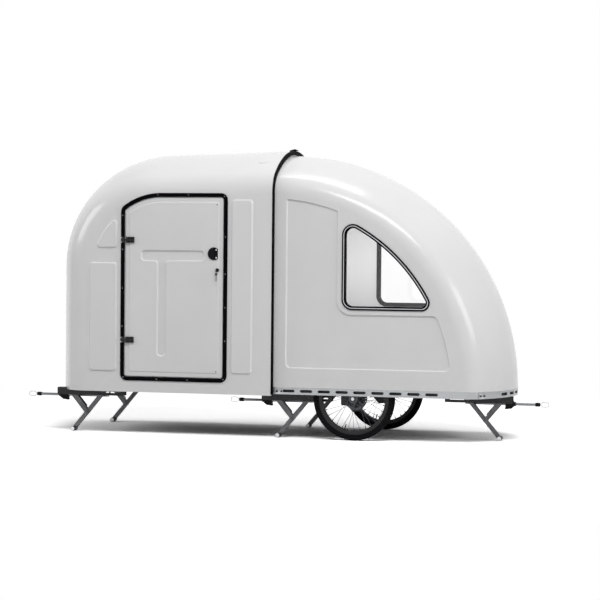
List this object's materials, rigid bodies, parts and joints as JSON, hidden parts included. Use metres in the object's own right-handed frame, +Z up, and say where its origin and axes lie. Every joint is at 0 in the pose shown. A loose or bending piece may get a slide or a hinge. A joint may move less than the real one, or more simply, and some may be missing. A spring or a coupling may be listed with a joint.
{
  "type": "bicycle camper trailer",
  "caption": "White two-shell sleeping cabin towed by a bicycle; the door unit folds up over the nose, and the cabin stands on two spoked wheels and folding legs.",
  "frame": {"origin": "on the ground, below the middle of the overall box", "axes": "+X towards the nose and the towing bicycle, +Y to the left, +Z up"},
  "size_m": [3.229, 1.046, 1.754],
  "materials": {
    "shell": "gloss moulded white",
    "floor": "matt sandwich panel",
    "rail": "satin extrusion",
    "rubber": "matt black",
    "pane": "clear acrylic",
    "black_metal": "satin black",
    "bright_metal": "bright",
    "grey_metal": "dark grey powder coat",
    "black_plastic": "moulded black",
    "tyre": "matt",
    "rod": "satin tube"
  },
  "bodies": {
    "nose": {"nose_hood": "shell", "nose_side_right": "shell", "nose_side_left": "shell", "nose_floor": "floor", "nose_rail": "rail", "wheel_wells": "floor", "window_pane_right": "pane", "window_pane_left": "pane", "window_seal_right": "rubber", "window_seal_left": "rubber", "axle_brackets": "black_metal", "stub_axles": "bright_metal", "brake_calipers": "black_metal", "seam_leg_tracks": "grey_metal", "seam_rod_clamps": "black_plastic", "front_leg_tracks": "grey_metal", "front_rod_clamps": "black_plastic", "fold_hinge_nose": "bright_metal", "tow_socket": "black_metal"},
    "door_unit": {"door_unit_hood": "shell", "door_unit_side_right": "shell", "door_unit_side_left": "shell", "door_unit_floor": "floor", "seam_seal": "rubber", "roof_latch": "black_plastic", "door_frame": "rubber", "door_hinge_posts": "grey_metal", "fold_hinge_door": "bright_metal", "rear_leg_tracks": "grey_metal", "rear_rod_clamps": "black_plastic"},
    "door": {"door_leaf": "shell", "door_hinge_leaves": "grey_metal", "door_handle": "black_plastic", "door_lock": "bright_metal"},
    "wheel_right": {"wheel_right_tyre": "tyre", "wheel_right_rim": "black_metal", "wheel_right_spokes": "bright_metal", "wheel_right_rotor": "bright_metal"},
    "wheel_left": {"wheel_left_tyre": "tyre", "wheel_left_rim": "black_metal", "wheel_left_spokes": "bright_metal", "wheel_left_rotor": "bright_metal"},
    "brace_rear_right": {"brace_rear_right": "grey_metal"},
    "leg_rear_right": {"leg_rear_right": "grey_metal"},
    "rod_rear_right": {"rod_rear_right": "rod"},
    "brace_rear_left": {"brace_rear_left": "grey_metal"},
    "leg_rear_left": {"leg_rear_left": "grey_metal"},
    "rod_rear_left": {"rod_rear_left": "rod"},
    "brace_seam_right": {"brace_seam_right": "grey_metal"},
    "leg_seam_right": {"leg_seam_right": "grey_metal"},
    "rod_seam_right": {"rod_seam_right": "rod"},
    "brace_seam_left": {"brace_seam_left": "grey_metal"},
    "leg_seam_left": {"leg_seam_left": "grey_metal"},
    "rod_seam_left": {"rod_seam_left": "rod"},
    "brace_front": {"brace_front": "grey_metal"},
    "leg_front": {"leg_front": "grey_metal"},
    "rod_front": {"rod_front": "rod"}
  },
  "joints": [
    {"name": "fold", "type": "hinge", "parent": "nose", "child": "door_unit", "pos_m": [0.0055, 0, 0.31], "axis": [0, 1, 0], "range_deg": [0, 90]},
    {"name": "door_swing", "type": "hinge", "parent": "door_unit", "child": "door", "pos_m": [-0.92468, -0.513, 0.88], "axis": [0, 0, -1], "range_deg": [0, 150]},
    {"name": "wheel_right_spin", "type": "hinge", "parent": "nose", "child": "wheel_right", "pos_m": [0.4985, -0.41, 0.25], "axis": [0, 1, 0], "continuous": true},
    {"name": "wheel_left_spin", "type": "hinge", "parent": "nose", "child": "wheel_left", "pos_m": [0.4985, 0.41, 0.25], "axis": [0, 1, 0], "continuous": true},
    {"name": "brace_rear_right_fold", "type": "hinge", "parent": "door_unit", "child": "brace_rear_right", "pos_m": [-1.3145, -0.355, 0.242], "axis": [0, -1, 0], "range_deg": [0, 43]},
    {"name": "leg_rear_right_pin", "type": "hinge", "parent": "brace_rear_right", "child": "leg_rear_right", "pos_m": [-1.21165, -0.355, 0.11943], "axis": [0, -1, 0], "range_deg": [-86.5, 0.5]},
    {"name": "rod_rear_right_slide", "type": "slide", "parent": "door_unit", "child": "rod_rear_right", "axis": [1, 0, 0], "range_m": [-0.001, 0.11292]},
    {"name": "brace_rear_left_fold", "type": "hinge", "parent": "door_unit", "child": "brace_rear_left", "pos_m": [-1.3145, 0.355, 0.242], "axis": [0, -1, 0], "range_deg": [0, 43]},
    {"name": "leg_rear_left_pin", "type": "hinge", "parent": "brace_rear_left", "child": "leg_rear_left", "pos_m": [-1.21165, 0.355, 0.11943], "axis": [0, -1, 0], "range_deg": [-86.5, 0.5]},
    {"name": "rod_rear_left_slide", "type": "slide", "parent": "door_unit", "child": "rod_rear_left", "axis": [1, 0, 0], "range_m": [-0.001, 0.11292]},
    {"name": "brace_seam_right_fold", "type": "hinge", "parent": "nose", "child": "brace_seam_right", "pos_m": [0.0025, -0.355, 0.242], "axis": [0, -1, 0], "range_deg": [0, 43]},
    {"name": "leg_seam_right_pin", "type": "hinge", "parent": "brace_seam_right", "child": "leg_seam_right", "pos_m": [0.10535, -0.355, 0.11943], "axis": [0, -1, 0], "range_deg": [-86.5, 0.5]},
    {"name": "rod_seam_right_slide", "type": "slide", "parent": "nose", "child": "rod_seam_right", "axis": [1, 0, 0], "range_m": [-0.001, 0.11292]},
    {"name": "brace_seam_left_fold", "type": "hinge", "parent": "nose", "child": "brace_seam_left", "pos_m": [0.0025, 0.355, 0.242], "axis": [0, -1, 0], "range_deg": [0, 43]},
    {"name": "leg_seam_left_pin", "type": "hinge", "parent": "brace_seam_left", "child": "leg_seam_left", "pos_m": [0.10535, 0.355, 0.11943], "axis": [0, -1, 0], "range_deg": [-86.5, 0.5]},
    {"name": "rod_seam_left_slide", "type": "slide", "parent": "nose", "child": "rod_seam_left", "axis": [1, 0, 0], "range_m": [-0.001, 0.11292]},
    {"name": "brace_front_fold", "type": "hinge", "parent": "nose", "child": "brace_front", "pos_m": [1.3395, -0.1, 0.242], "axis": [0, 1, 0], "range_deg": [0, 43]},
    {"name": "leg_front_pin", "type": "hinge", "parent": "brace_front", "child": "leg_front", "pos_m": [1.23665, -0.1, 0.11943], "axis": [0, 1, 0], "range_deg": [-86.5, 0.5]},
    {"name": "rod_front_slide", "type": "slide", "parent": "nose", "child": "rod_front", "axis": [-1, 0, 0], "range_m": [-0.001, 0.11292]}
  ],
  "couplings": [
    {"joint": "leg_rear_right_pin", "follows": "brace_rear_right_fold", "ratio": -2},
    {"joint": "rod_rear_right_slide", "follows": "brace_rear_right_fold", "m_per_rad": 0.14913},
    {"joint": "leg_rear_left_pin", "follows": "brace_rear_left_fold", "ratio": -2},
    {"joint": "rod_rear_left_slide", "follows": "brace_rear_left_fold", "m_per_rad": 0.14913},
    {"joint": "leg_seam_right_pin", "follows": "brace_seam_right_fold", "ratio": -2},
    {"joint": "rod_seam_right_slide", "follows": "brace_seam_right_fold", "m_per_rad": 0.14913},
    {"joint": "leg_seam_left_pin", "follows": "brace_seam_left_fold", "ratio": -2},
    {"joint": "rod_seam_left_slide", "follows": "brace_seam_left_fold", "m_per_rad": 0.14913},
    {"joint": "leg_front_pin", "follows": "brace_front_fold", "ratio": -2},
    {"joint": "rod_front_slide", "follows": "brace_front_fold", "m_per_rad": 0.14913}
  ]
}
